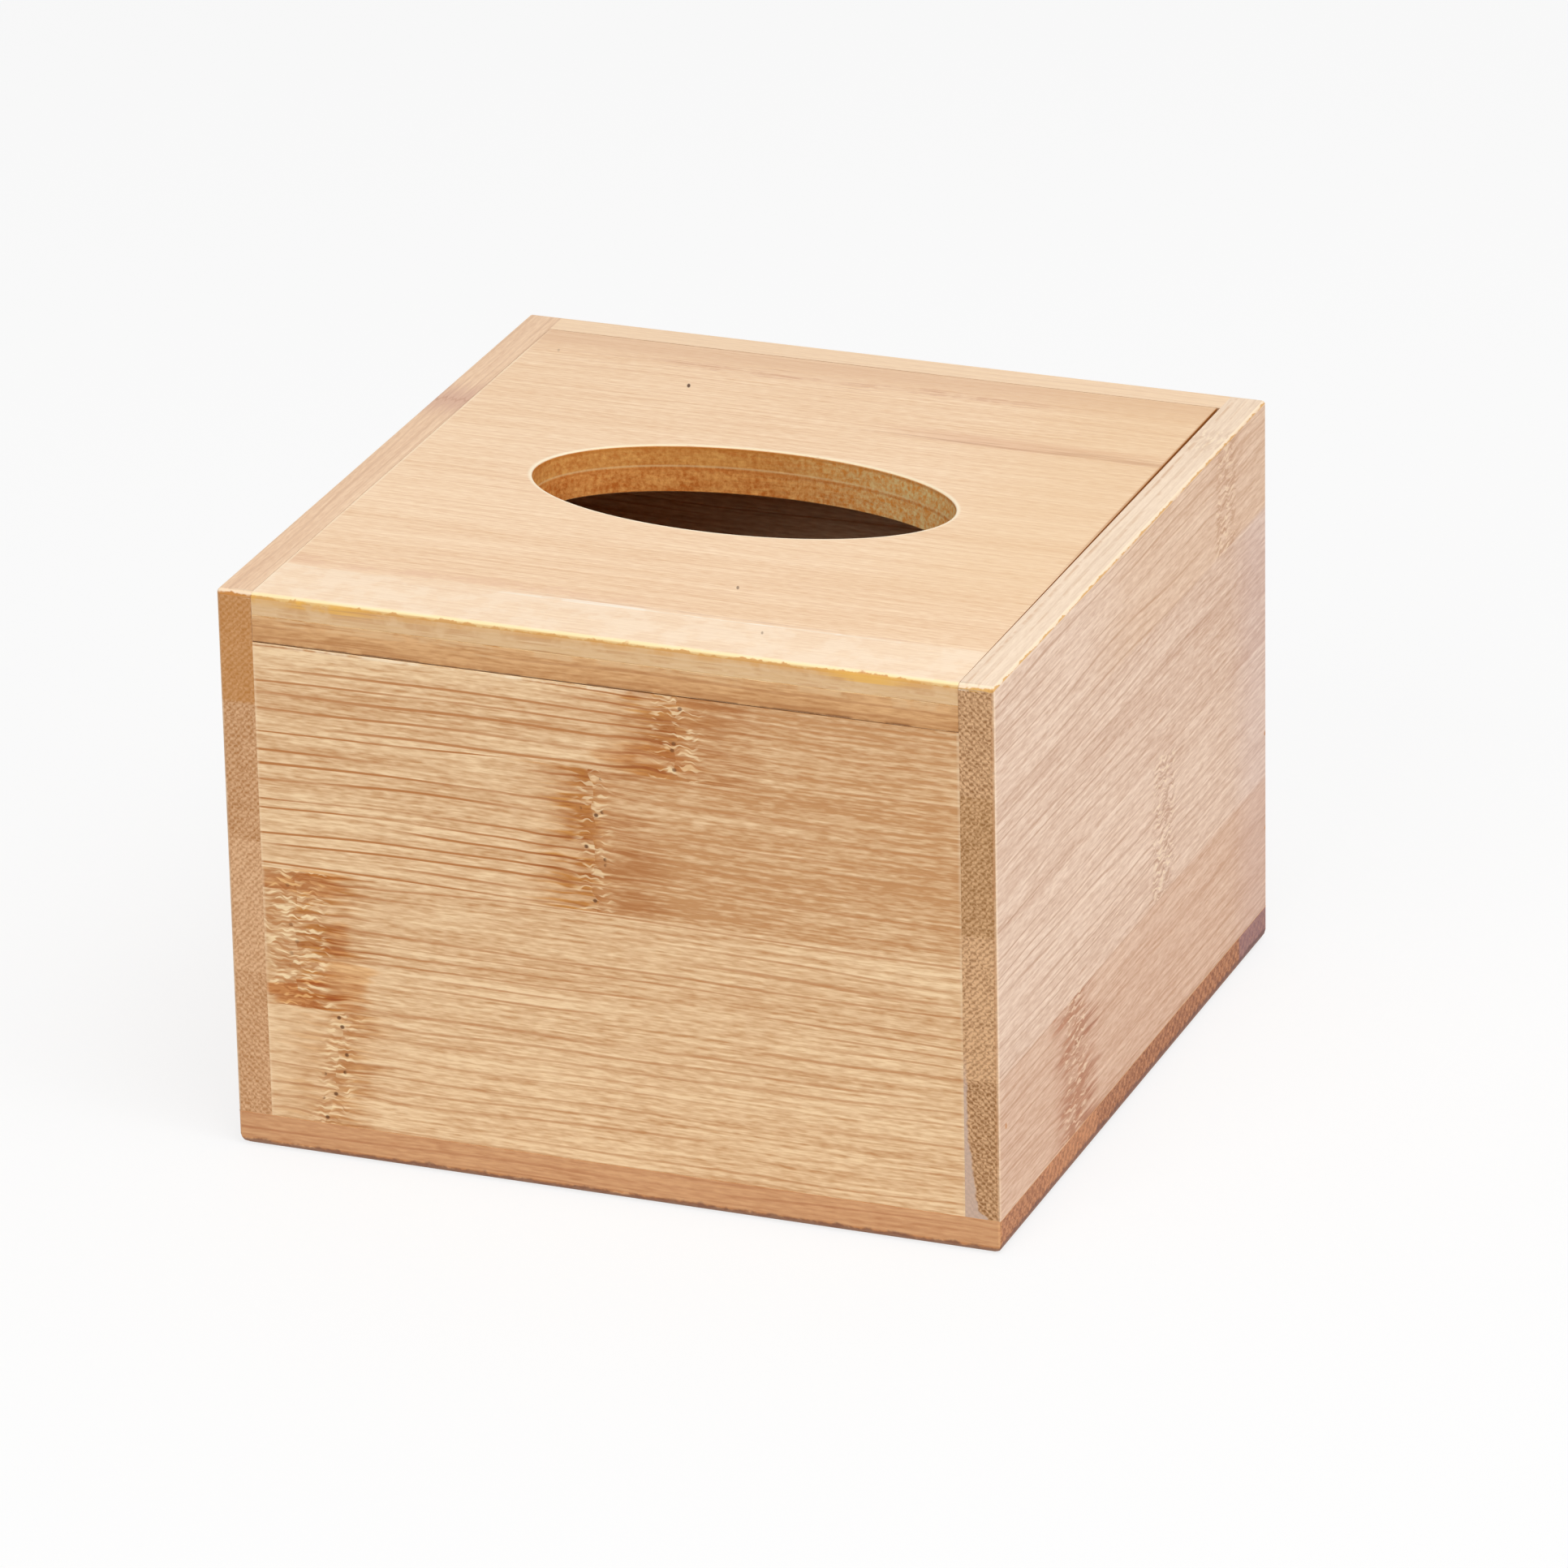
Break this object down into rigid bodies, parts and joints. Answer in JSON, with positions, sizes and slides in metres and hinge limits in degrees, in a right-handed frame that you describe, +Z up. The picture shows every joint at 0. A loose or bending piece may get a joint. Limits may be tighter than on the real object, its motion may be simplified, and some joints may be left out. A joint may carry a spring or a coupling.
{
  "type": "tissue box cover",
  "caption": "Square bamboo tissue box cover with a full base, an oval dispensing slot and a flush lid that slides out over the front panel.",
  "frame": {"origin": "middle of the underside of the base board", "axes": "+Z up, -Y out of the front face, +X to the right as seen from the front"},
  "size_m": [0.115, 0.115, 0.085],
  "materials": {
    "base_bamboo": "satin, orange-brown bamboo",
    "front_bamboo": "satin, warm tan bamboo",
    "side_bamboo": "satin, beige bamboo",
    "runner_bamboo": "bare, planed bamboo",
    "lid_core_bamboo": "satin, brown bamboo",
    "lid_face_bamboo": "satin, pale bamboo"
  },
  "bodies": {
    "box": {"base_board": "base_bamboo", "front_panel": "front_bamboo", "back_panel": "side_bamboo", "left_side_board": "side_bamboo", "right_side_board": "side_bamboo", "left_runner": "runner_bamboo", "right_runner": "runner_bamboo"},
    "lid": {"lid_lower_ply": "lid_core_bamboo", "lid_upper_ply": "lid_face_bamboo"}
  },
  "joints": [
    {"name": "lid_slide", "type": "slide", "parent": "box", "child": "lid", "axis": [0, -1, 0], "range_m": [0, 0.11]}
  ]
}
